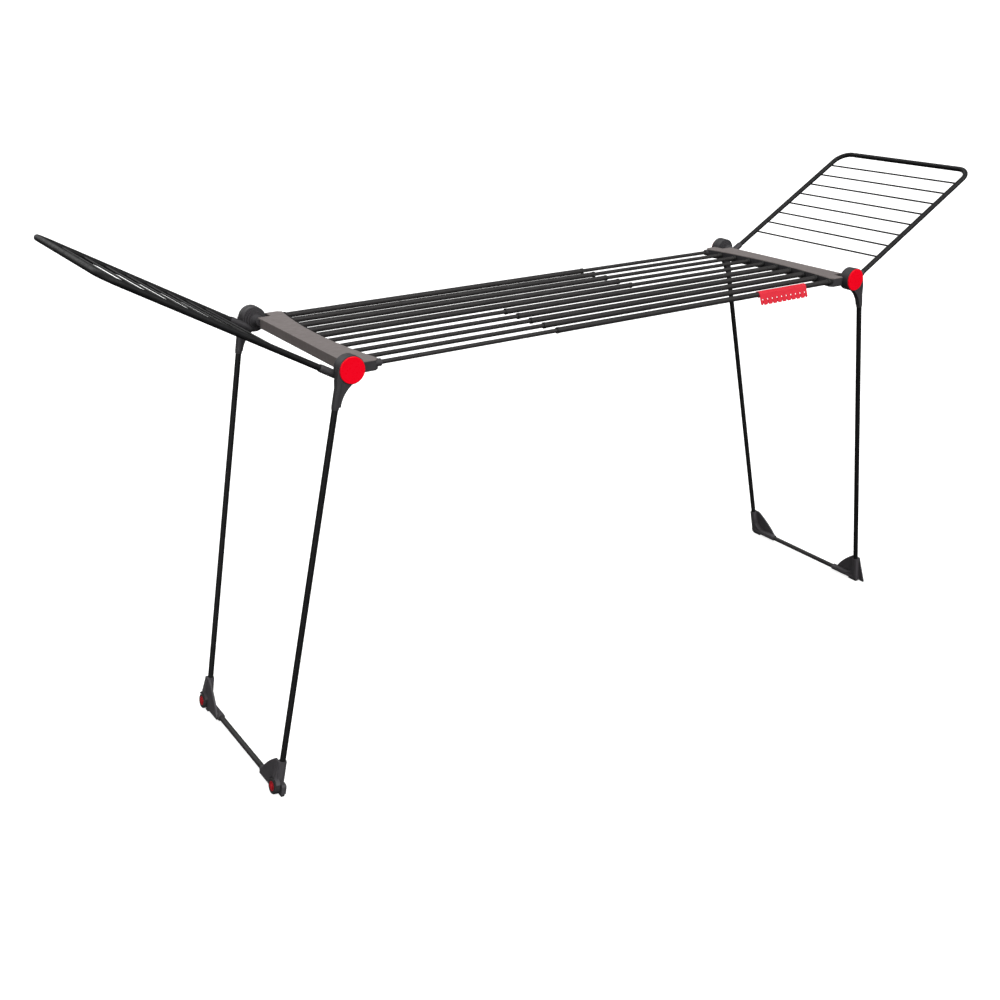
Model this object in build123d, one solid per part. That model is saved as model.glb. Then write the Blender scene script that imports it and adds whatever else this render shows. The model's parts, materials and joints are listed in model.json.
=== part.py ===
"""Free-standing telescopic clothes airer: two hinged leg frames, two hinged wings and ten
drying rods that slide into one another. Millimetres, +Z up, origin on the floor under the
middle of the airer, X along the rods, front at -Y."""
from build123d import *
import math
import os

# Overall layout
hub_span = 1600.0
hub_height = 1038.0
fit_gap = 0.05
seat_gap = 0.5

# Drying rods
rod_pitch = 56.0
rod_count = 10
rod_drop = 1.5
tube_d = 14.4
tube_wall = 0.6
rod_d = 10.6
rod_wall = 0.6
mouth_x = 226.0
rod_overlap = 120.0
bush_collar_d = 15.8
bush_collar_length = 6.0
bush_plug_length = 14.0
glide_length = 16.0

# Headers, measured inward from the hub axis
header_start = -0.5
header_end_width = 77.0
header_mid_width = 55.0
header_end_gap = 10.0
header_nose_wall = 2.8
header_nose_gap = 2.0
header_rise = 10.0
header_depth = 16.0
header_edge = 1.6
header_corner = 10.0
lid_thickness = 3.0
skirt_thickness = 4.0
skirt_lift = 2.0
cover_gap = 0.3
rod_seat = 38.0
socket_radius = 8.8
socket_length = 8.0
socket_edge = 2.0
boss_radius = 9.5
boss_length = 22.0
boss_flare = 16.0

# Hinge pins and red caps
pin_radius = 5.0
pin_seat = 20.0
pin_head_radius = 9.5
pin_head_height = 3.0
head_pocket_gap = 0.5
cap_radius = 30.5
cap_thickness = 3.1
cap_edge = 1.4

# Leg frames
leg_splay = 11.23
leg_offset = 24.7
leg_tube_d = 14.5
leg_tube_wall = 0.8
leg_tube_inset = 9.0
leg_y_floor = 229.0
leg_knuckle_radius = 32.0
leg_knuckle_width = 14.5
leg_sleeve_wall = 1.7
leg_sleeve_top = 27.0
leg_sleeve_end = 92.0
leg_sleeve_taper = 6.0
leg_gusset_end = 84.0
leg_seat = 34.0
gusset_start_angle = -79.0
gusset_hollow = 6.0

# Feet
bar_lift = 13.5
foot_leg_reach = 74.0
foot_bar_reach = 95.0
foot_arm = 9.5
foot_web = 7.5
foot_crook = 32.0
foot_shoulder = 8.0
foot_heel = 27.0
foot_toe = 26.0
foot_base = 6.0
fan_outer = 12.5
fan_head = 17.0
fan_reach = 88.0
fan_bulge = 5.5
fan_edge = 1.5
toe_height = 32.0
toe_round = 7.0
fender_out = 18.5
fender_wall = 2.5
fender_rise = 12.0
leg_foot_seat = 34.0
bar_foot_seat = 42.0
pad_inset = 2.0

# Transport wheels on the left feet
wheel_radius = 20.0
wheel_width = 15.0
wheel_hub_radius = 12.5
wheel_start = 5.0
wheel_side_gap = 0.6
wheel_pocket_gap = 2.5
wheel_floor_gap = 1.0
axle_radius = 3.0
axle_head_radius = 6.0
axle_head_height = 1.6
axle_root = 8.0
tyre_edge = 3.0
dish_radius = 10.0
dish_depth = 2.0

# Wings
wing_angle = 30.0
wing_drop = 24.3
wing_tube_d = 14.6
wing_tube_wall = 0.8
wing_half_width = 249.0
wing_reach = 564.5
wing_corner = 43.0
wing_seat = 16.0
wing_knuckle_inner = 11.5
wing_knuckle_outer = 14.5
wing_drum_radius = 31.5
wing_drum_width = 14.0
wing_drum_edge = 1.5
wing_neck_radius = 18.0
wing_neck_steps = 3
wing_sleeve_wall = 1.9
wing_sleeve_end = 60.0
wing_sleeve_taper = 5.0
wire_d = 5.0
wire_count = 8
wire_first = 133.0
wire_pitch = 52.2

# Small-item clip on the front rod
clip_x = 531.0
clip_length = 178.0
clip_wall = 1.8
clip_lean = 20.0
clip_drop = 22.0
clip_grip_gap = 0.1
clip_hole_d = 4.6
clip_hole_count = 10
clip_hole_rise = 15.0
clip_slit = 1.2
clip_notch_width = 7.5
clip_notch_depth = 5.0
clip_corner = 5.0

# Values worked out from the driving dimensions
hub_x = hub_span / 2
rod_z = hub_height - rod_drop
tube_bore = tube_d / 2 - tube_wall
rod_bore = rod_d / 2 - rod_wall
outer_rod_y = (rod_count - 1) / 2 * rod_pitch
header_nose_y = outer_rod_y + tube_d / 2 + header_nose_wall
header_nose_start = leg_knuckle_radius + header_nose_gap
boss_end_y = wing_half_width - wing_knuckle_inner - seat_gap
boss_start_y = boss_end_y - boss_length
header_end_y = boss_end_y - header_end_gap
lid_z = header_rise - lid_thickness
leg_knuckle_y = wing_half_width + wing_knuckle_outer + seat_gap
knuckle_face_y = leg_knuckle_y + leg_knuckle_width
leg_y_hub = leg_knuckle_y + leg_tube_inset
splay = math.radians(leg_splay)
leg_reach = (hub_height + leg_offset * math.sin(splay)) / math.cos(splay)
leg_lean = (leg_y_hub - leg_y_floor) / leg_reach
bar_z = -leg_reach + bar_lift
wheel_lift = wheel_radius + (wheel_floor_gap - wheel_start * math.sin(splay)) / math.cos(splay)
wheel_z = wheel_lift - leg_reach
wheel_bay = wheel_start - wheel_side_gap
wheel_y = leg_y_hub + leg_lean * wheel_z
pocket_radius = wheel_radius + wheel_pocket_gap
leg_sleeve_radius = leg_tube_d / 2 + leg_sleeve_wall
wing_sleeve_radius = wing_tube_d / 2 + wing_sleeve_wall
clip_inner = tube_d / 2 + clip_grip_gap
clip_outer = clip_inner + clip_wall


def rod_y(index):
    """Distance of a rod from the middle plane, counted from the front."""
    return (index - (rod_count - 1) / 2) * rod_pitch


def leg_y(z):
    """Half spread of the leg axes at a height below the hub axis, in the leg plane."""
    return leg_y_hub + leg_lean * z


def bar_between(start, end, radius, bore=0.0):
    """Round bar from one point to another, hollow when a bore is given."""
    run = Vector(*end) - Vector(*start)
    plane = Plane(origin=start, z_dir=run)
    solid = Solid.make_cylinder(radius, run.length, plane)
    if bore > 0:
        solid = solid - Solid.make_cylinder(bore, run.length, plane)
    return solid


def along_y(radius, y_start, y_end):
    """Round bar on the hub axis between two distances from the middle plane."""
    return bar_between((0, y_start, 0), (0, y_end, 0), radius)


def cone_between(start, end, start_radius, end_radius):
    """Round taper from one point to another."""
    run = Vector(*end) - Vector(*start)
    return Solid.make_cone(start_radius, end_radius, run.length, Plane(origin=start, z_dir=run))


def extrude_y(face, y_start, y_end):
    """Carry a profile drawn in X and Z along Y."""
    return Pos(0, y_start, 0) * extrude(face, amount=y_end - y_start, dir=(0, 1, 0))


def front_and_rear(rear):
    """The rear piece and its mirror image at the front."""
    return [rear, mirror(rear, about=Plane.XZ)]


def at_left_hub(shape):
    return Pos(-hub_x, 0, hub_height) * shape


def to_right(shape):
    """Turn a piece of the left end half round the vertical axis to the right end."""
    return Rot(0, 0, 180) * shape


def header_outline():
    """Plan of a header: straight outer edge, waisted inner edge, noses beside the hubs."""
    start = header_start
    nose = header_nose_start
    wide = header_end_width
    step = header_nose_y - header_corner
    with BuildSketch() as plan:
        with BuildLine():
            Polyline((wide, -step), (wide - header_corner, -header_nose_y), (nose, -header_nose_y),
                     (nose, -header_end_y), (start, -header_end_y), (start, header_end_y),
                     (nose, header_end_y), (nose, header_nose_y), (wide - header_corner, header_nose_y),
                     (wide, step))
            ThreePointArc((wide, step), (header_mid_width, 0), (wide, -step))
        make_face()
    return plan.sketch


def rod_channels():
    """Seats of the ten rod ends in a header: rods in the front half, tubes in the rear half."""
    channels = []
    for index in range(rod_count):
        radius = (rod_d if index < rod_count / 2 else tube_d) / 2 + fit_gap
        start = (rod_seat, rod_y(index), -rod_drop)
        end = (header_end_width + header_corner, rod_y(index), -rod_drop)
        channels.append(bar_between(start, end, radius))
    return channels


def header_cover():
    """Lid of a header with a softened top edge and a skirt down its outer side."""
    lid = Pos(0, 0, lid_z) * extrude(header_outline(), amount=lid_thickness)
    lid = fillet(lid.faces().sort_by(Axis.Z)[-1].edges(), header_edge)
    skirt = skirt_block(skirt_thickness, boss_start_y - cover_gap, skirt_lift - header_depth)
    return at_left_hub(lid + skirt)


def skirt_block(thickness, half_length, low):
    """Bar along the outer edge of a header, from a level up to the underside of the lid."""
    height = lid_z - low
    return Pos(header_start + thickness / 2, 0, low + height / 2) * Box(thickness, 2 * half_length, height)


def rod_socket():
    """Rounded collar that carries the outermost narrow rod on the inner side of a header."""
    y = rod_y(0)
    end = (header_end_width + socket_length, y, -rod_drop)
    collar = bar_between((rod_seat, y, -rod_drop), end, socket_radius)
    return below_level(fillet(collar.faces().sort_by(Axis.X)[-1].edges(), socket_edge), lid_z)


def hinge_boss():
    """Boss of a header for the hub pin: flat under the lid, flared towards the wing knuckle."""
    stem = below_level(along_y(boss_radius, boss_start_y, header_end_y), lid_z)
    return stem + cone_between((0, header_end_y, 0), (0, boss_end_y, 0), boss_radius, boss_flare)


def header_base():
    """Body of a header with the rod seats and the hinge bosses that carry the hub pins."""
    body = Pos(0, 0, -header_depth) * extrude(header_outline(), amount=header_depth + lid_z)
    body = fillet(body.faces().sort_by(Axis.Z)[0].edges(), header_edge)
    skirt_room = skirt_block(skirt_thickness + cover_gap, boss_start_y, skirt_lift - header_depth - cover_gap)
    pin_hole = along_y(pin_radius + fit_gap, boss_end_y - pin_seat, boss_end_y)
    body = body - skirt_room + front_and_rear(hinge_boss()) + rod_socket()
    return at_left_hub(body - front_and_rear(pin_hole) - rod_channels())


def hub_pins():
    """Headed pins through the header bosses, wing knuckles and leg knuckles."""
    inner_end = boss_end_y - pin_seat
    shoulder = knuckle_face_y - pin_head_height - head_pocket_gap
    shank = along_y(pin_radius, inner_end, shoulder)
    head = along_y(pin_head_radius, shoulder, shoulder + pin_head_height)
    return [at_left_hub(pin) for pin in front_and_rear(shank + head)]


def outer_tube(index):
    """Wide tube of a rear rod, from the left header to its mouth beyond the middle."""
    y = rod_y(index)
    return bar_between((rod_seat - hub_x, y, rod_z), (mouth_x, y, rod_z), tube_d / 2, tube_bore)


def inner_rod(index):
    """Narrow rod of a front pair, from the left header into the wide tube of the other end."""
    y = rod_y(index)
    end = rod_overlap - mouth_x
    return bar_between((rod_seat - hub_x, y, rod_z), (end, y, rod_z), rod_d / 2, rod_bore)


def tube_bushes():
    """Collars in the mouths of the wide tubes, in which the narrow rods run."""
    bushes = []
    for index in range(rod_count // 2, rod_count):
        y = rod_y(index)
        mouth = (mouth_x, y, rod_z)
        collar = bar_between(mouth, (mouth_x + bush_collar_length, y, rod_z), bush_collar_d / 2)
        plug = bar_between((mouth_x - bush_plug_length, y, rod_z), mouth, tube_bore - fit_gap)
        hole = bar_between((mouth_x - 2 * bush_plug_length, y, rod_z),
                           (mouth_x + 2 * bush_collar_length, y, rod_z), rod_d / 2 + fit_gap)
        bushes.append(collar + plug - hole)
    return bushes


def rod_glides():
    """Plugs on the hidden ends of the narrow rods, guided by the bores of the wide tubes."""
    glides = []
    end = rod_overlap - mouth_x
    for index in range(rod_count // 2):
        y = rod_y(index)
        head = bar_between((end, y, rod_z), (end + glide_length, y, rod_z), tube_bore - fit_gap)
        spigot = bar_between((end - glide_length, y, rod_z), (end, y, rod_z), rod_bore - fit_gap)
        glides.append(head + spigot)
    return glides


def splayed(shape):
    """Turn a piece from the upright leg plane to its outward slant at the left hub."""
    return at_left_hub(Rot(0, leg_splay, 0) * shape)


def leg_axis(z):
    return (-leg_offset, leg_y(z), z)


def leg_knuckle():
    """Disc on the hub pin with a hollow-edged gusset and a sleeve for the leg tube."""
    outer = -leg_offset - leg_sleeve_radius
    inner = -leg_offset + leg_sleeve_radius
    angle = math.radians(gusset_start_angle)
    start = (leg_knuckle_radius * math.cos(angle), leg_knuckle_radius * math.sin(angle))
    middle = ((start[0] + inner) / 2 - gusset_hollow, (start[1] - leg_gusset_end) / 2)
    shoulder = leg_sleeve_taper - leg_sleeve_end
    with BuildSketch(Plane.XZ) as profile:
        Circle(leg_knuckle_radius)
        with BuildLine():
            Polyline(start, (0, 0), (outer, 0), (outer, -leg_sleeve_top), (-leg_offset, shoulder),
                     (inner, -leg_gusset_end))
            ThreePointArc((inner, -leg_gusset_end), middle, start)
        make_face()
    knuckle = extrude_y(profile.sketch, leg_knuckle_y, knuckle_face_y)
    sleeve = bar_between(leg_axis(-leg_sleeve_top), leg_axis(shoulder), leg_sleeve_radius)
    sleeve = sleeve + cone_between(leg_axis(shoulder), leg_axis(-leg_sleeve_end), leg_sleeve_radius,
                                   leg_tube_d / 2 + leg_sleeve_wall / 2)
    tube_room = bar_between(leg_axis(-leg_seat), leg_axis(-2 * leg_sleeve_end), leg_tube_d / 2 + fit_gap)
    pin_hole = along_y(pin_radius + fit_gap, leg_knuckle_y - seat_gap, knuckle_face_y)
    pocket_depth = pin_head_height + head_pocket_gap
    head_room = along_y(pin_head_radius + head_pocket_gap, knuckle_face_y - pocket_depth, knuckle_face_y)
    return knuckle + sleeve - tube_room - pin_hole - head_room


def hub_cap():
    """Plain round cap with a softened rim over the outer face of a leg knuckle."""
    cap = along_y(cap_radius, knuckle_face_y, knuckle_face_y + cap_thickness)
    return fillet(cap.faces().sort_by(Axis.Y)[-1].edges(), cap_edge)


def leg_tube():
    end = bar_z + leg_foot_seat
    return bar_between(leg_axis(-leg_seat), leg_axis(end), leg_tube_d / 2, leg_tube_d / 2 - leg_tube_wall)


def foot_bar():
    """Floor bar that joins the two feet of a leg frame."""
    y = leg_y(bar_z) - bar_foot_seat
    return bar_between((-leg_offset, -y, bar_z), (-leg_offset, y, bar_z),
                       leg_tube_d / 2, leg_tube_d / 2 - leg_tube_wall)


def elbow_outline():
    """Inner body of a foot, drawn in Y and Z: two arms with a hollow crook, and a base on the floor."""
    corner = leg_y(bar_z)
    tip = corner - foot_bar_reach
    heel = corner - foot_heel
    top = bar_z + foot_leg_reach
    arm_top = bar_z + foot_web
    arm_low = bar_z - foot_web
    crook_y = corner - foot_web - foot_crook
    crook_z = arm_top + foot_crook
    bend = foot_crook / math.sqrt(2)
    with BuildSketch(Plane.YZ) as elbow:
        with BuildLine():
            Polyline((crook_y, arm_top), (tip, arm_top), (tip, arm_low), (heel, arm_low), (heel, -leg_reach),
                     (corner + foot_shoulder, -leg_reach), (leg_y(top) + foot_shoulder, top),
                     (leg_y(top) - foot_web, top), (corner - foot_web, crook_z))
            ThreePointArc((corner - foot_web, crook_z), (crook_y + bend, crook_z - bend), (crook_y, arm_top))
        make_face()
    return elbow.sketch


def fan_outline(toe):
    """Outer plate of a foot, drawn in Y and Z: a swelling edge from the leg to the floor bar."""
    corner = leg_y(bar_z)
    tip = corner - fan_reach
    heel = corner - foot_heel
    top = bar_z + foot_leg_reach
    arm_low = bar_z - foot_web
    crown = leg_y(top) - fan_head
    chord = math.hypot(crown - tip, top - bar_z)
    swell_y = (crown + tip) / 2 - fan_bulge * (top - bar_z) / chord
    swell_z = (top + bar_z) / 2 + fan_bulge * (crown - tip) / chord
    with BuildSketch(Plane.YZ) as fan:
        with BuildLine():
            Polyline((tip, bar_z), (tip, arm_low), (heel, arm_low), (heel, -leg_reach),
                     (corner + toe, -leg_reach), (leg_y(top) + foot_shoulder, top), (crown, top))
            ThreePointArc((crown, top), (swell_y, swell_z), (tip, bar_z))
        make_face()
    return fan.sketch


def toe_outline():
    """Toe of a wheeled foot, drawn in Y and Z: a low block with a rounded upper corner."""
    corner = leg_y(bar_z)
    low = -leg_reach
    with BuildSketch(Plane.YZ) as block:
        with BuildLine():
            FilletPolyline((corner, low), (corner + foot_toe, low), (corner + foot_toe, low + toe_height),
                           (corner, low + toe_height), radius=toe_round)
            Line((corner, low + toe_height), (corner, low))
        make_face()
    return block.sketch


def outward(face, start, end):
    """Carry a profile drawn in Y and Z between two distances outward from the leg plane."""
    return Pos(-leg_offset - end, 0, 0) * extrude(face, amount=end - start, dir=(1, 0, 0))


def wheel_cylinder(radius, start, end):
    """Round bar on the axle of the rear wheel between two distances outward from the leg plane."""
    return bar_between((-leg_offset - start, wheel_y, wheel_z), (-leg_offset - end, wheel_y, wheel_z), radius)


def fender():
    """Guard over a wheel: an arch round its upper side and a rib that slants up the leg."""
    top = bar_z + foot_leg_reach
    arch_radius = pocket_radius + fender_wall
    arch_top = wheel_z + arch_radius
    arch = wheel_cylinder(arch_radius, foot_web, fender_out)
    room = Pos(-leg_offset, wheel_y, wheel_z + fender_rise + arch_radius) * Box(
        4 * fender_out, 4 * arch_radius, 2 * arch_radius)
    with BuildSketch(Plane.XZ) as slant:
        with BuildLine():
            Polyline((-leg_offset - foot_web, top), (-leg_offset - fan_outer, top),
                     (-leg_offset - fender_out, arch_top), (-leg_offset - fender_out, wheel_z),
                     (-leg_offset - foot_web, wheel_z), close=True)
        make_face()
    rib = extrude_y(slant.sketch, leg_y(top) - foot_arm, leg_y(wheel_z) + foot_shoulder)
    return (arch & room) + rib


def foot_rooms(with_wheel):
    """Seats of the leg tube and the floor bar in a foot, and the pocket and axle seat of a wheel."""
    corner = leg_y(bar_z)
    radius = leg_tube_d / 2 + fit_gap
    rooms = [bar_between(leg_axis(bar_z + leg_foot_seat), leg_axis(bar_z + 2 * foot_leg_reach), radius),
             bar_between((-leg_offset, corner - bar_foot_seat, bar_z),
                         (-leg_offset, corner - 2 * foot_bar_reach, bar_z), radius)]
    if with_wheel:
        rooms.append(wheel_cylinder(pocket_radius, wheel_bay, 2 * fender_out))
        rooms.append(wheel_cylinder(axle_radius + fit_gap, wheel_bay - axle_root, wheel_bay))
    return rooms


def foot_elbow(with_wheel):
    """Inner body of the rear foot: an elbow with sleeves for both tubes; at a wheel also a toe block."""
    corner = leg_y(bar_z)
    sleeve = bar_between(leg_axis(bar_z), leg_axis(bar_z + foot_leg_reach), foot_arm)
    collar = bar_between((-leg_offset, corner, bar_z), (-leg_offset, corner - foot_bar_reach, bar_z), foot_arm)
    body = outward(elbow_outline(), -foot_web, foot_web) + sleeve + collar
    if with_wheel:
        body = body + outward(toe_outline(), -foot_web, wheel_bay)
    return body - foot_rooms(with_wheel)


def foot_fan(with_wheel):
    """Outer plate of the rear foot down to the floor, with a flared toe or a guard over the wheel."""
    toe = foot_shoulder if with_wheel else foot_toe
    fan = outward(fan_outline(toe), foot_web, fan_outer)
    fan = fillet(fan.faces().sort_by(Axis.X)[0].edges(), fan_edge)
    if with_wheel:
        fan = fan + fender()
    return fan - foot_rooms(with_wheel)


def above_floor(shape, height):
    """Keep what lies higher than a level over the floor."""
    reach = 2 * hub_span
    keep = Pos(0, 0, height + reach / 2) * Box(2 * reach, reach, reach)
    return shape & keep


def below_level(shape, height):
    reach = 2 * hub_span
    keep = Pos(0, 0, height - reach / 2) * Box(2 * reach, reach, reach)
    return shape & keep


def floor_foot(with_wheel):
    """Pair of feet: the plates end on the floor, the elbows are cut level where the pads are fitted."""
    elbow = above_floor(splayed(foot_elbow(with_wheel)), foot_base)
    plate = above_floor(splayed(foot_fan(with_wheel)), 0.0)
    return front_and_rear(elbow + plate)


def floor_pads(with_wheel):
    """Rubber soles under the feet, drawn in a little from their outline."""
    corner = leg_y(bar_z)
    outer = (wheel_bay if with_wheel else foot_web) - pad_inset
    inner = pad_inset - foot_web
    toe = corner + (foot_toe if with_wheel else foot_shoulder) - pad_inset
    heel = corner - foot_heel + pad_inset
    block = Pos(-leg_offset - (outer + inner) / 2, (toe + heel) / 2, -leg_reach) * Box(
        outer - inner, toe - heel, 4 * foot_base)
    soles = [splayed(piece) for piece in front_and_rear(block)]
    return [below_level(above_floor(sole, 0.0), foot_base) for sole in soles]


def wheel_axles():
    """Headed studs in the left feet on which the wheels turn."""
    shoulder = wheel_start + wheel_width + wheel_side_gap
    shank = wheel_cylinder(axle_radius, wheel_bay - axle_root, shoulder)
    head = wheel_cylinder(axle_head_radius, shoulder, shoulder + axle_head_height)
    return [splayed(piece) for piece in front_and_rear(shank + head)]


def wheel_tyre():
    """Tyre of the rear wheel with softened edges."""
    end = wheel_start + wheel_width
    tyre = wheel_cylinder(wheel_radius, wheel_start, end)
    tyre = fillet(tyre.edges().filter_by(GeomType.CIRCLE), tyre_edge)
    return tyre - wheel_cylinder(wheel_hub_radius, wheel_start, end)


def wheel_core():
    """Core of the rear wheel, dished on its outer face, bored for the axle."""
    end = wheel_start + wheel_width
    core = wheel_cylinder(wheel_hub_radius - fit_gap, wheel_start, end)
    floor = end - dish_depth
    dish = wheel_cylinder(dish_radius, floor, end) - wheel_cylinder(axle_head_radius, floor, end)
    return core - dish - wheel_cylinder(axle_radius + fit_gap, wheel_start, end)


def wing_turned(shape):
    """Lift a piece from a level left wing to its raised rest angle."""
    return at_left_hub(Rot(0, wing_angle, 0) * shape)


def wing_knuckle():
    """Drum on the hub pin, stepped down to a neck, with a sleeve for the end of the wing tube."""
    start_y = boss_end_y + seat_gap
    end_y = leg_knuckle_y - seat_gap
    drum_y = end_y - wing_drum_width
    drum = along_y(wing_drum_radius, drum_y, end_y)
    knuckle = fillet(drum.faces().sort_by(Axis.Y)[0].edges(), wing_drum_edge)
    for step in range(wing_neck_steps):
        share = step / wing_neck_steps
        radius = wing_neck_radius + share * (wing_drum_radius - wing_neck_radius)
        knuckle = knuckle + along_y(radius, start_y + share * (drum_y - start_y), drum_y)
    y = wing_half_width
    shoulder = (wing_sleeve_taper - wing_sleeve_end, y, -wing_drop)
    sleeve = bar_between((0, y, -wing_drop), shoulder, wing_sleeve_radius)
    sleeve = sleeve + cone_between(shoulder, (-wing_sleeve_end, y, -wing_drop), wing_sleeve_radius,
                                   wing_tube_d / 2 + wing_sleeve_wall / 2)
    tube_room = bar_between((-wing_seat, y, -wing_drop), (-2 * wing_sleeve_end, y, -wing_drop),
                            wing_tube_d / 2 + fit_gap)
    pin_hole = along_y(pin_radius + fit_gap, start_y, end_y)
    return knuckle + sleeve - tube_room - pin_hole


def wing_frame():
    """Bent tube of a wing: two sides and an outer bar joined by round corners."""
    y = wing_half_width
    corners = [(-wing_seat, y), (-wing_reach, y), (-wing_reach, -y), (-wing_seat, -y)]
    with BuildLine() as path:
        FilletPolyline([(x, side, -wing_drop) for x, side in corners], radius=wing_corner)
    start = Plane(origin=(-wing_seat, y, -wing_drop), z_dir=(-1, 0, 0))
    outer = sweep(start * Circle(wing_tube_d / 2), path.line)
    inner = sweep(start * Circle(wing_tube_d / 2 - wing_tube_wall), path.line)
    return wing_turned(outer - inner)


def wing_wires():
    """Parallel wires between the two sides of a wing."""
    half = wing_half_width - wing_tube_d / 2
    wires = []
    for index in range(wire_count):
        x = -wire_first - index * wire_pitch
        wires.append(wing_turned(bar_between((x, -half, -wing_drop), (x, half, -wing_drop), wire_d / 2)))
    return wires


def clip_profile():
    """Section of the clip before it leans: an open ring round the tube and a flat plate."""
    plate = clip_outer + clip_drop
    middle = (clip_inner + clip_outer) / 2
    with BuildSketch(Plane.YZ) as section:
        Circle(clip_outer)
        Circle(clip_inner, mode=Mode.SUBTRACT)
        with Locations((clip_outer, -clip_outer / 2)):
            Rectangle(2 * clip_outer, clip_outer, mode=Mode.SUBTRACT)
        with Locations((-middle, -plate / 2)):
            Rectangle(clip_wall, plate)
    return section.sketch


def clip():
    """Comb clip on the front tube, with round holes that open downward through slits and notches."""
    plate_end = clip_outer + clip_drop
    body = Pos(-clip_length / 2, 0, 0) * extrude(clip_profile(), amount=clip_length, dir=(1, 0, 0))
    low_corners = body.edges().filter_by(Axis.Y).group_by(Axis.Z)[0]
    body = fillet(low_corners, clip_corner)
    pitch = clip_length / clip_hole_count
    half_notch = clip_notch_width / 2
    half_slit = clip_slit / 2
    with BuildSketch(Plane.XZ) as keyhole:
        with Locations((0, clip_hole_rise)):
            Circle(clip_hole_d / 2)
        with BuildLine():
            Polyline((half_notch, 0), (half_slit, clip_notch_depth), (half_slit, clip_hole_rise),
                     (-half_slit, clip_hole_rise), (-half_slit, clip_notch_depth), (-half_notch, 0),
                     close=True)
        make_face()
    cutter = extrude_y(keyhole.sketch, -2 * clip_outer, 0)
    for index in range(clip_hole_count):
        x = (index - (clip_hole_count - 1) / 2) * pitch
        body = body - Pos(x, 0, -plate_end) * cutter
    return Pos(clip_x, rod_y(0), rod_z) * Rot(-clip_lean, 0, 0) * body


def save(name, solids):
    """Write one node, a single solid or a group of separate ones."""
    pieces = solids if isinstance(solids, list) else [solids]
    flat = [solid for piece in pieces for solid in piece.solids()]
    shape = flat[0] if len(flat) == 1 else Compound(children=flat)
    shape.label = name
    export_step(shape, f"parts/{name}.step")


def both_ends(name, pieces):
    """Write a node of the left end and its twin at the right end."""
    listed = pieces if isinstance(pieces, list) else [pieces]
    save(f"left_{name}", listed)
    save(f"right_{name}", [to_right(piece) for piece in listed])


def build():
    os.makedirs("parts", exist_ok=True)
    both_ends("header_cover", header_cover())
    both_ends("header_base", header_base())
    both_ends("hub_pins", hub_pins())
    for number in range(rod_count // 2):
        both_ends(f"outer_tube_{number + 1}", outer_tube(rod_count - 1 - number))
        both_ends(f"inner_rod_{number + 1}", inner_rod(number))
    both_ends("tube_bushes", tube_bushes())
    both_ends("rod_glides", rod_glides())
    both_ends("leg_knuckles", [splayed(piece) for piece in front_and_rear(leg_knuckle())])
    both_ends("hub_caps", [splayed(piece) for piece in front_and_rear(hub_cap())])
    rear_tube, front_tube = [splayed(piece) for piece in front_and_rear(leg_tube())]
    save("left_rear_leg_tube", rear_tube)
    save("left_front_leg_tube", front_tube)
    save("right_rear_leg_tube", to_right(front_tube))
    save("right_front_leg_tube", to_right(rear_tube))
    both_ends("foot_bar", splayed(foot_bar()))
    save("left_feet", floor_foot(True))
    save("right_feet", [to_right(piece) for piece in floor_foot(False)])
    save("left_floor_pads", floor_pads(True))
    save("right_floor_pads", [to_right(piece) for piece in floor_pads(False)])
    save("wheel_axles", wheel_axles())
    tyres = front_and_rear(wheel_tyre())
    cores = front_and_rear(wheel_core())
    for place, tyre, core in zip(("rear", "front"), tyres, cores):
        save(f"{place}_tyre", splayed(tyre))
        save(f"{place}_wheel_core", splayed(core))
    both_ends("wing_knuckles", [wing_turned(piece) for piece in front_and_rear(wing_knuckle())])
    both_ends("wing_frame", wing_frame())
    both_ends("wing_wires", wing_wires())
    save("peg_clip", clip())


build()
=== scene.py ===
"""Looks of a free-standing clothes airer.

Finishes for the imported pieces, small fittings, floor, light and camera.
"""
import json
import math

import bpy
import numpy as np
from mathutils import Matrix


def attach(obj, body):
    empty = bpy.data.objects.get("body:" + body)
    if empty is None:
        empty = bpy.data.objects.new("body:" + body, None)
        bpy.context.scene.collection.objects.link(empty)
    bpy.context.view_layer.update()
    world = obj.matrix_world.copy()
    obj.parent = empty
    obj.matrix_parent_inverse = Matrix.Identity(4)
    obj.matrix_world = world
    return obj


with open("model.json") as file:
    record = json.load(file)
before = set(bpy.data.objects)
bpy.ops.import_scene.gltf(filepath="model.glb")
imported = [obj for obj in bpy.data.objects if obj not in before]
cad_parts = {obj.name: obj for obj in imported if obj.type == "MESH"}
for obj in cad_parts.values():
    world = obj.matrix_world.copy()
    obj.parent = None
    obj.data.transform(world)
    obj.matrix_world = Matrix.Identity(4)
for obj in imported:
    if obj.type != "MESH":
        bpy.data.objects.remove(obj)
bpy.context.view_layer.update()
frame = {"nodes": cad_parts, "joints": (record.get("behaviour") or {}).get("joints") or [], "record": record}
nodes = frame["nodes"]
slot_of = {part["node"]: part["material_slot"] for part in frame["record"]["subparts"]}

# Camera of the studio picture
camera_place = (-1.9380, -2.5536, 1.7954)
camera_tilt = math.radians(67.17)
camera_turn = math.radians(-33.80)
camera_lens = 43.55
camera_sensor = 36.0
camera_sight = 500.0

# Studio
white = (1.0, 1.0, 1.0, 1.0)
black = (0.0, 0.0, 0.0, 1.0)
stand_roughness = 0.9
floor_size = 130.0
floor_drop = 0.0004
floor_colour = (0.55, 0.55, 0.55, 1.0)
floor_glow = 0.75
backdrop_radius = 60.0
backdrop_glow = 1.1
backdrop_columns = 49
backdrop_rows = 13
sky_above = 0.40
sky_below = 0.03
sky_start = -0.15
sky_end = 0.45
lamp_spread = math.radians(60.0)
# Each lamp: name, degrees above the horizon, degrees turned, power
lamps = (("key_light", 40.0, 14.0, 2.8), ("fill_light", 15.0, -50.0, 1.2), ("back_light", 42.0, 194.0, 1.1))

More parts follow.
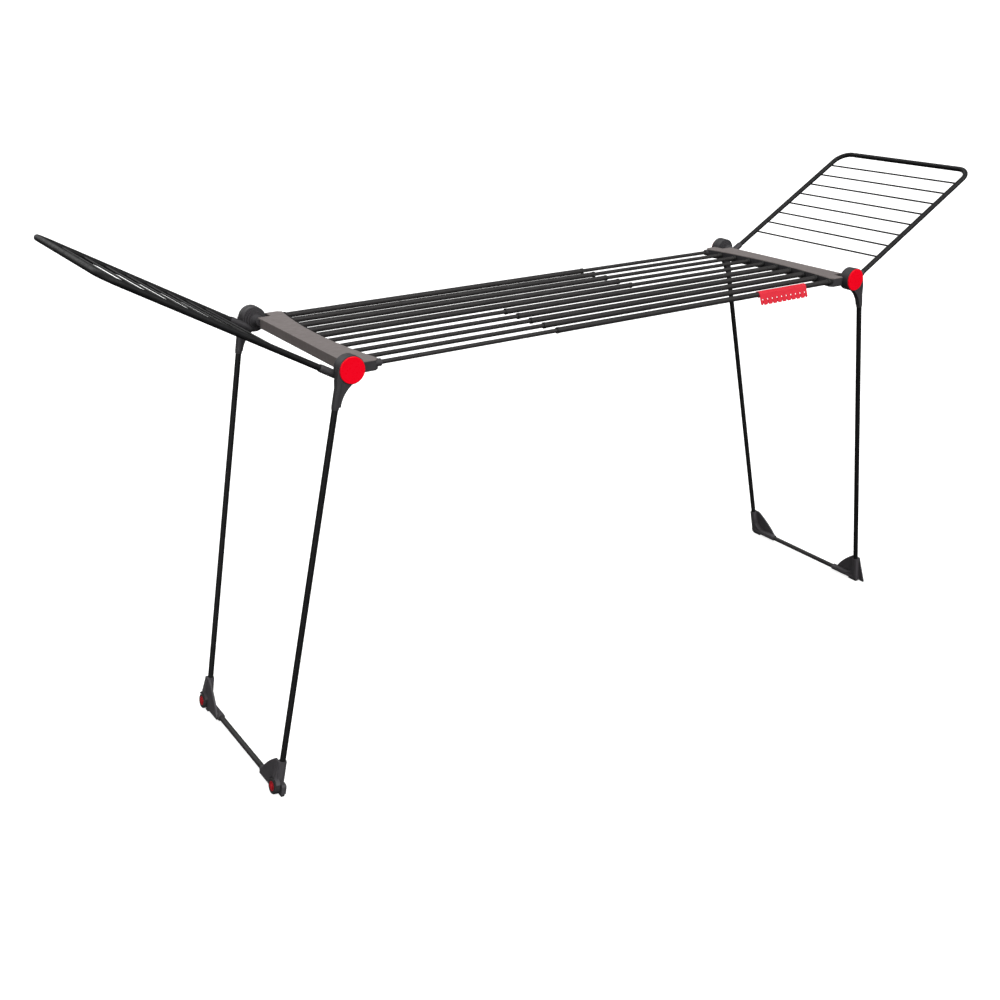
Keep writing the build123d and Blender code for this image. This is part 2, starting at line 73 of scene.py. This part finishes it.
# Places on the airer that the small fittings sit on, in metres
hub_x = 0.800
hub_z = 1.038
rod_count = 10
rod_pitch = 0.056
rod_drop = 0.0015
rod_z = hub_z - rod_drop
narrow_radius = 0.0053
wide_radius = 0.0072
header_waist = 0.055
header_end = 0.077
header_half = 0.252
wing_angle = math.radians(30.0)
wing_drop = 0.0243
wire_count = 8
wire_first = 0.133
wire_pitch = 0.0522
wire_half = 0.2417
wire_radius = 0.0025
tyre_radius = 0.020

# Rod collars, in metres
collar_wall = 0.0018
collar_sunk = 0.008
collar_reach = 0.009
collar_play = 0.0001
collar_curve_points = 6
collar_turns = 24

# Wire welds, in metres along the wire from where it meets the tube, and away from the wire's middle line
weld_start = -0.0036
weld_length = 0.0050
weld_end = 0.0014
weld_bore_start = -0.0030
weld_bore = 0.0020
weld_swell = 0.0021
weld_curve_points = 7
weld_turns = 16

# Tyre ribs, in metres
rib_places = (-0.0042, -0.0014, 0.0014, 0.0042)
rib_half_width = 0.0009
rib_height = 0.0009
rib_sunk = 0.0004
rib_curve_points = 7
rib_turns = 48


class Finish:
    """A node material under construction: one principled shader and the nodes that feed it."""

    def __init__(self, name, roughness, metallic=0.0, specular=0.5):
        self.material = bpy.data.materials.new(name)
        self.material.use_nodes = True
        self.tree = self.material.node_tree
        self.shader = self.tree.nodes["Principled BSDF"]
        self.shader.inputs["Roughness"].default_value = roughness
        self.shader.inputs["Metallic"].default_value = metallic
        self.shader.inputs["Specular IOR Level"].default_value = specular
        self.place = self.tree.nodes.new("ShaderNodeTexCoord").outputs["Object"]

    def link(self, source, target):
        self.tree.links.new(source, target)

    def noise(self, scale, detail=3.0, stretch=(1.0, 1.0, 1.0)):
        """Noise over the object's own coordinates; stretch scales each axis of the pattern."""
        mapping = self.tree.nodes.new("ShaderNodeMapping")
        mapping.inputs["Scale"].default_value = stretch
        self.link(self.place, mapping.inputs["Vector"])
        texture = self.tree.nodes.new("ShaderNodeTexNoise")
        texture.inputs["Scale"].default_value = scale
        texture.inputs["Detail"].default_value = detail
        self.link(mapping.outputs["Vector"], texture.inputs["Vector"])
        return texture.outputs["Fac"]

    def gloss(self, fac, low, high, start=0.35, end=0.65):
        """Roughness from low to high while the pattern goes from start to end."""
        node = self.tree.nodes.new("ShaderNodeMapRange")
        node.inputs["From Min"].default_value = start
        node.inputs["From Max"].default_value = end
        node.inputs["To Min"].default_value = low
        node.inputs["To Max"].default_value = high
        self.link(fac, node.inputs["Value"])
        self.link(node.outputs["Result"], self.shader.inputs["Roughness"])

    def tones(self, fac, dark, light, start=0.3, end=0.7):
        """Colour from dark to light while the pattern goes from start to end."""
        ramp = self.tree.nodes.new("ShaderNodeValToRGB")
        first, last = ramp.color_ramp.elements
        first.position = start
        first.color = (*dark, 1.0)
        last.position = end
        last.color = (*light, 1.0)
        self.link(fac, ramp.inputs["Fac"])
        self.link(ramp.outputs["Color"], self.shader.inputs["Base Color"])

    def bump(self, fac, depth):
        """Relief of the given depth in metres along a pattern."""
        node = self.tree.nodes.new("ShaderNodeBump")
        node.inputs["Strength"].default_value = 1.0
        node.inputs["Distance"].default_value = depth
        self.link(fac, node.inputs["Height"])
        self.link(node.outputs["Normal"], self.shader.inputs["Normal"])


def moulded_plastic(name, dark, light, roughness, grain_depth):
    """Moulded plastic with a fine spark-eroded grain and slightly uneven gloss."""
    finish = Finish(name, roughness, specular=0.3)
    finish.tones(finish.noise(scale=14.0), dark, light)
    finish.gloss(finish.noise(scale=60.0), low=roughness - 0.07, high=roughness + 0.07)
    finish.bump(finish.noise(scale=2600.0, detail=2.0), grain_depth)
    return finish.material


def coated_tube(name, dark, light, roughness=0.50):
    """Powder coat on steel: a soft orange-peel relief and small changes of gloss along the tube."""
    finish = Finish(name, roughness, specular=0.18)
    finish.tones(finish.noise(scale=22.0, detail=4.0), dark, light)
    finish.gloss(finish.noise(scale=130.0), low=roughness - 0.06, high=roughness + 0.08)
    finish.bump(finish.noise(scale=900.0, detail=3.0), depth=0.00012)
    return finish.material


def gloss_plastic(name, dark, light, roughness, specular):
    """Polished red plastic with a clear surface and faint moulding ripple."""
    finish = Finish(name, roughness, specular=specular)
    finish.tones(finish.noise(scale=40.0), dark, light)
    finish.gloss(finish.noise(scale=210.0), low=roughness - 0.04, high=roughness + 0.05)
    finish.bump(finish.noise(scale=120.0, detail=1.0), depth=0.00006)
    return finish.material


def bright_steel(name):
    """Drawn steel with a brushed sheen."""
    finish = Finish(name, roughness=0.3, metallic=1.0)
    brushed = finish.noise(scale=300.0, detail=2.0, stretch=(1.0, 12.0, 1.0))
    finish.tones(brushed, dark=(0.42, 0.42, 0.43), light=(0.56, 0.56, 0.57))
    finish.bump(finish.noise(scale=900.0, detail=2.0, stretch=(1.0, 10.0, 1.0)), depth=0.00004)
    return finish.material


def soft_rubber(name):
    """Matt black rubber with a dusty, granular skin."""
    finish = Finish(name, roughness=0.75, specular=0.3)
    dusty = finish.noise(scale=180.0, detail=5.0)
    finish.tones(dusty, dark=(0.012, 0.012, 0.013), light=(0.030, 0.029, 0.030))
    finish.gloss(finish.noise(scale=420.0), low=0.66, high=0.86)
    finish.bump(finish.noise(scale=1500.0, detail=3.0), depth=0.00018)
    return finish.material


finishes = {
    "header_grey": moulded_plastic("header_plastic", dark=(0.158, 0.137, 0.133), light=(0.171, 0.149, 0.144),
                                   roughness=0.55, grain_depth=0.00003),
    "charcoal_plastic": moulded_plastic("charcoal_plastic", dark=(0.031, 0.029, 0.032),
                                        light=(0.038, 0.036, 0.039), roughness=0.55, grain_depth=0.00004),
    "rod_grey": coated_tube("rod_coat", dark=(0.020, 0.0185, 0.0185), light=(0.026, 0.0245, 0.0245)),
    "tube_black": coated_tube("frame_coat", dark=(0.005, 0.005, 0.0055), light=(0.009, 0.009, 0.0095)),
    "bush_black": moulded_plastic("bush_plastic", dark=(0.008, 0.008, 0.008), light=(0.014, 0.014, 0.014),
                                  roughness=0.55, grain_depth=0.00004),
    "cap_red": gloss_plastic("cap_plastic", dark=(0.82, 0.0010, 0.012), light=(0.84, 0.0014, 0.014),
                             roughness=0.30, specular=0.12),
    "clip_red": gloss_plastic("clip_plastic", dark=(0.58, 0.012, 0.028), light=(0.63, 0.016, 0.034),
                              roughness=0.40, specular=0.22),
    "rubber_black": soft_rubber("foot_rubber"),
    "pin_steel": bright_steel("pin_steel"),
}
wheel_red = gloss_plastic("wheel_plastic", dark=(0.40, 0.012, 0.020), light=(0.46, 0.015, 0.024),
                          roughness=0.42, specular=0.30)
# Pieces with a finish of their own, by the name after its first word
node_finishes = {
    "wheel_core": wheel_red,
    "axles": wheel_red,
    # The feet's plastic is the charcoal plastic made lighter: painted light that lifts the feet, which stand
    # in shade.
    "feet": moulded_plastic("foot_plastic_painted_light", dark=(0.046, 0.043, 0.047), light=(0.056, 0.052, 0.057),
                            roughness=0.58, grain_depth=0.00004),
    "foot_bar": coated_tube("floor_bar_coat", dark=(0.020, 0.019, 0.019), light=(0.028, 0.027, 0.027)),
}
for name, obj in nodes.items():
    obj.data.materials.clear()
    obj.data.materials.append(node_finishes.get(name.split("_", 1)[1], finishes[slot_of[name]]))


def turned_rings(centres, axis, across, steps, radii, turns):
    """Closed rings of revolution.

    Row r of a ring's section stands steps[r] along the axis and radii[r] away from it, and goes once round:
    point = centre + step * axis + radius * (cos(t) * across + sin(t) * (axis x across)), with t from 0 to a
    full turn.
    """
    axis = np.asarray(axis, float)
    across = np.asarray(across, float)
    t = np.linspace(0.0, 2.0 * np.pi, turns, endpoint=False)
    spokes = np.cos(t)[:, None] * across + np.sin(t)[:, None] * np.cross(axis, across)
    return (centres[:, None, None, :] + steps[:, :, None, None] * axis
            + radii[:, :, None, None] * spokes[None, None, :, :])


def ring_piece(name, points, body, slot):
    """Mesh of closed rings from a grid of points.

    The grid runs over the ring, the row of its section and the step of the turn; the last two wrap round.
    """
    index = np.arange(points[..., 0].size).reshape(points.shape[:3])
    beside = np.roll(index, -1, axis=2)
    after = np.roll(index, -1, axis=1)
    quads = np.stack((index, beside, np.roll(after, -1, axis=2), after), axis=-1).reshape(-1, 4)
    mesh = bpy.data.meshes.new(name)
    mesh.from_pydata(points.reshape(-1, 3).tolist(), [], quads.tolist())
    mesh.polygons.foreach_set("use_smooth", np.ones(len(quads), dtype=bool))
    mesh.update()
    piece = bpy.data.objects.new(name, mesh)
    bpy.context.scene.collection.objects.link(piece)
    piece.data.materials.append(finishes[slot])
    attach(piece, body)


def rod_collars():
    """Collars of the left end where the rods, all but the foremost, leave the header.

    The header's inner edge is a circle arc through the waist and both ends, so at a rod's place y it stands
    waist + R - sqrt(R * R - y * y) inward of the hub. Each collar is a sleeve about the rod, sunk in the
    header, whose outer edge turns down to the rod in a quarter circle.
    """
    y = (np.arange(1, rod_count) - (rod_count - 1) / 2) * rod_pitch
    rod = np.where(y < 0.0, narrow_radius, wide_radius)
    sagitta = header_end - header_waist
    arc = (header_half ** 2 + sagitta ** 2) / (2.0 * sagitta)
    edge = header_waist + arc - np.sqrt(arc ** 2 - y ** 2)
    centres = np.stack((edge - hub_x, y, np.full_like(y, rod_z)), axis=1)
    quarter = np.linspace(0.0, np.pi / 2, collar_curve_points)
    rounded = collar_reach - collar_wall + collar_wall * np.sin(quarter)
    steps = np.concatenate(([-collar_sunk], rounded, [-collar_sunk]))
    lift = np.concatenate(([collar_wall], collar_wall * np.cos(quarter) + collar_play, [collar_play]))
    steps = np.tile(steps, (len(y), 1))
    return turned_rings(centres, (1, 0, 0), (0, 1, 0), steps, rod[:, None] + lift, collar_turns)


def wire_welds():
    """Weld fillets of the left wing where its wires meet the side tubes.

    Each fillet leaves the wire tangent to it and swells to the tube:
    radius = wire + w * (1 - sqrt(1 - q * q)), with q from 0 on the wire to 1 inside the tube's wall.
    The wires stand in the wing's slanted plane below its hinge line.
    """
    s = wire_first + wire_pitch * np.arange(wire_count)
    x = -hub_x - s * math.cos(wing_angle) - wing_drop * math.sin(wing_angle)
    z = hub_z + s * math.sin(wing_angle) - wing_drop * math.cos(wing_angle)
    uphill = (-math.cos(wing_angle), 0, math.sin(wing_angle))
    q = np.linspace(0.0, 1.0, weld_curve_points)
    steps = np.concatenate((weld_start + weld_length * q, [weld_end, weld_bore_start]))
    radii = np.concatenate((wire_radius + weld_swell * (1.0 - np.sqrt(1.0 - q ** 2)), [weld_bore, weld_bore]))
    steps = np.tile(steps, (wire_count, 1))
    radii = np.tile(radii, (wire_count, 1))
    ends = []
    for side in (-1, 1):
        centres = np.stack((x, np.full_like(x, side * wire_half), z), axis=1)
        ends.append(turned_rings(centres, (0, side, 0), uphill, steps, radii, weld_turns))
    return np.concatenate(ends)


def tread_ribs(centre, axis):
    """Four low ribs round a tyre.

    A rib's section is half an ellipse that stands on a line just inside the tyre: step = c - w * cos(a) and
    radius = base + h * sin(a), a from 0 to half a turn, with c the rib's place along the axle.
    """
    places = np.array(rib_places)
    crown = np.linspace(0.0, np.pi, rib_curve_points)
    steps = np.tile(-rib_half_width * np.cos(crown), (len(places), 1))
    radii = np.tile(tyre_radius - rib_sunk + rib_height * np.sin(crown), (len(places), 1))
    centres = np.asarray(centre, float) + places[:, None] * np.asarray(axis, float)
    return turned_rings(centres, axis, (0, 1, 0), steps, radii, rib_turns)


for joint in frame["joints"]:
    if joint["name"].endswith("wheel_spin"):
        wheel = joint["child"]
        ring_piece(f"{wheel}_tread", tread_ribs(joint["pos_m"], joint["axis"]), wheel, "rubber_black")

# The right end is the left end turned half round about the upright axis
half_turn = np.array((-1.0, -1.0, 1.0))
for side, turn in (("left", np.ones(3)), ("right", half_turn)):
    ring_piece(f"{side}_rod_collars", rod_collars() * turn, f"{side}_end", "bush_black")
    ring_piece(f"{side}_wire_welds", wire_welds() * turn, f"{side}_wing", "tube_black")


def studio_stand(name, points, faces, finish, colour, glow, shadow):
    """Glowing surface of the studio that the camera sees and that doesn't light the airer."""
    mesh = bpy.data.meshes.new(name)
    mesh.from_pydata(points, [], faces)
    stand = bpy.data.objects.new(name, mesh)
    bpy.context.scene.collection.objects.link(stand)
    finish.shader.inputs["Base Color"].default_value = colour
    finish.shader.inputs["Emission Color"].default_value = white
    finish.shader.inputs["Emission Strength"].default_value = glow
    stand.data.materials.append(finish.material)
    stand.visible_shadow = shadow
    stand.visible_diffuse = False
    stand.visible_glossy = False


def studio_floor():
    """Pale square floor, just under the feet."""
    half = floor_size / 2
    corners = [(-half, -half, -floor_drop), (half, -half, -floor_drop),
               (half, half, -floor_drop), (-half, half, -floor_drop)]
    paper = Finish("studio_paper", stand_roughness, specular=0.1)
    studio_stand("studio_floor", corners, [(0, 1, 2, 3)], paper, floor_colour, floor_glow, shadow=True)


def studio_backdrop():
    """Half a sphere: its points are (cos a cos e, sin a cos e, sin e) times the radius.

    The angle a goes once round and e rises from the floor to the top.
    """
    around, above = np.meshgrid(np.linspace(0.0, 2.0 * np.pi, backdrop_columns),
                                np.linspace(0.0, np.pi / 2, backdrop_rows))
    level = np.cos(above)
    dome = backdrop_radius * np.stack((np.cos(around) * level, np.sin(around) * level, np.sin(above)), -1)
    index = np.arange(dome[..., 0].size).reshape(dome.shape[:2])
    quads = np.stack((index[:-1, :-1], index[1:, :-1], index[1:, 1:], index[:-1, 1:]), -1).reshape(-1, 4)
    cloth = Finish("studio_cloth", stand_roughness, specular=0.0)
    studio_stand("studio_backdrop", dome.reshape(-1, 3).tolist(), quads.tolist(), cloth, black, backdrop_glow,
                 shadow=False)


def studio_sky():
    """White sky, brighter above than below."""
    world = bpy.data.worlds.new("studio_sky")
    world.use_nodes = True
    links = world.node_tree.links
    sky = world.node_tree.nodes["Background"]
    sky.inputs["Color"].default_value = white
    heading = world.node_tree.nodes.new("ShaderNodeTexCoord")
    parts = world.node_tree.nodes.new("ShaderNodeSeparateXYZ")
    rise = world.node_tree.nodes.new("ShaderNodeMapRange")
    rise.inputs["From Min"].default_value = sky_start
    rise.inputs["From Max"].default_value = sky_end
    rise.inputs["To Min"].default_value = sky_below
    rise.inputs["To Max"].default_value = sky_above
    links.new(heading.outputs["Generated"], parts.inputs["Vector"])
    links.new(parts.outputs["Z"], rise.inputs["Value"])
    links.new(rise.outputs["Result"], sky.inputs["Strength"])
    bpy.context.scene.world = world
    bpy.context.scene.view_settings.view_transform = "Standard"


def studio_lamps():
    """Three soft lamps, far away."""
    for name, height, turn, power in lamps:
        lamp = bpy.data.lights.new(name, "SUN")
        lamp.angle = lamp_spread
        lamp.energy = power
        holder = bpy.data.objects.new(name, lamp)
        holder.rotation_euler = (math.radians(90.0 - height), 0.0, math.radians(turn))
        bpy.context.scene.collection.objects.link(holder)


def studio_camera():
    """Camera in front of the left end, above the rods."""
    lens = bpy.data.cameras.new("studio_camera")
    lens.lens = camera_lens
    lens.sensor_width = camera_sensor
    lens.clip_end = camera_sight
    camera = bpy.data.objects.new("studio_camera", lens)
    camera.location = camera_place
    camera.rotation_euler = (camera_tilt, 0.0, camera_turn)
    bpy.context.scene.collection.objects.link(camera)
    bpy.context.scene.camera = camera


studio_floor()
studio_backdrop()
studio_sky()
studio_lamps()
studio_camera()
